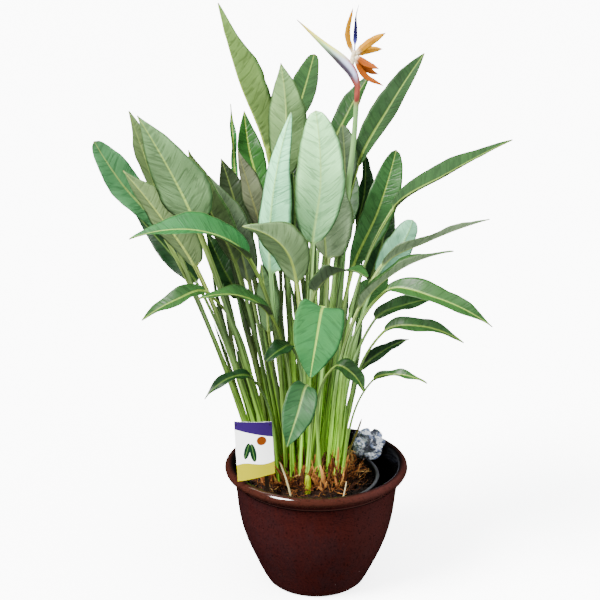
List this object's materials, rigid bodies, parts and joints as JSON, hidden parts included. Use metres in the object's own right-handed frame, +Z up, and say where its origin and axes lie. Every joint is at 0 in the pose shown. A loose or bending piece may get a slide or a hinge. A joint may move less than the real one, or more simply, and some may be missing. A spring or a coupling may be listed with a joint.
{
  "type": "potted bird of paradise",
  "caption": "Leafy bird of paradise with an orange and blue flower, standing in a black nursery pot inside a round glazed cover pot, with a care tag and a wad of film.",
  "frame": {"origin": "centre of the flat underside of the glazed cover pot", "axes": "+Z up, -Y towards the front of the plant, where the care tag faces, +X to the right as seen from the front"},
  "size_m": [0.8101, 0.512, 1.2101],
  "materials": {
    "oxblood_glaze": "glossy glaze on stoneware",
    "black_plastic": "satin",
    "potting_soil": "crumbly and damp",
    "root_fibre": "fibrous",
    "leaf_green": "satin, leathery",
    "flower_stalk_green": "satin",
    "sepal_orange": "satin",
    "tongue_blue": "satin",
    "tag_card": "smooth printed card",
    "clear_film": "crumpled clear film"
  },
  "bodies": {
    "root": {"cover_pot": "oxblood_glaze", "nursery_pot": "black_plastic", "soil": "potting_soil", "root_crown": "root_fibre", "leaf_tall_left": "leaf_green", "leaf_upper_grey": "leaf_green", "leaf_back_upper": "leaf_green", "leaf_pale_narrow": "leaf_green", "leaf_centre_broad": "leaf_green", "leaf_curved_olive": "leaf_green", "leaf_centre_half_hidden": "leaf_green", "leaf_short_bent": "leaf_green", "leaf_front_hanging": "leaf_green", "leaf_low_hanging": "leaf_green", "leaf_front_small": "leaf_green", "leaf_arching_left": "leaf_green", "leaf_outer_left": "leaf_green", "leaf_striped_left": "leaf_green", "leaf_big_left": "leaf_green", "leaf_olive_left": "leaf_green", "leaf_dark_left_back": "leaf_green", "leaf_low_left": "leaf_green", "leaf_mid_left": "leaf_green", "leaf_small_left": "leaf_green", "leaf_small_right": "leaf_green", "leaf_low_right": "leaf_green", "leaf_dark_low_right": "leaf_green", "leaf_mid_low_right": "leaf_green", "leaf_dark_right": "leaf_green", "leaf_arching_right": "leaf_green", "leaf_folded_right": "leaf_green", "leaf_grey_right": "leaf_green", "leaf_pale_right": "leaf_green", "leaf_long_right": "leaf_green", "leaf_tall_right": "leaf_green", "leaf_back_of_stalk": "leaf_green", "leaf_grey_narrow": "leaf_green", "leaf_dark_narrow": "leaf_green", "leaf_broad_right": "leaf_green", "leaf_dark_right_back": "leaf_green", "leaf_green_left": "leaf_green", "leaf_rolled_spear": "leaf_green", "leaf_grey_behind": "leaf_green", "leaf_olive_slender": "leaf_green", "leaf_dark_olive": "leaf_green", "leaf_brown_grey": "leaf_green", "leaf_green_under": "leaf_green", "leaf_back_centre": "leaf_green", "leaf_back_left": "leaf_green", "leaf_back_low_right": "leaf_green", "leaf_back_low_left": "leaf_green", "flower_stalk": "flower_stalk_green", "flower_sepals": "sepal_orange", "flower_tongue": "tongue_blue", "care_tag": "tag_card", "packing_wad": "clear_film"}
  },
  "joints": []
}
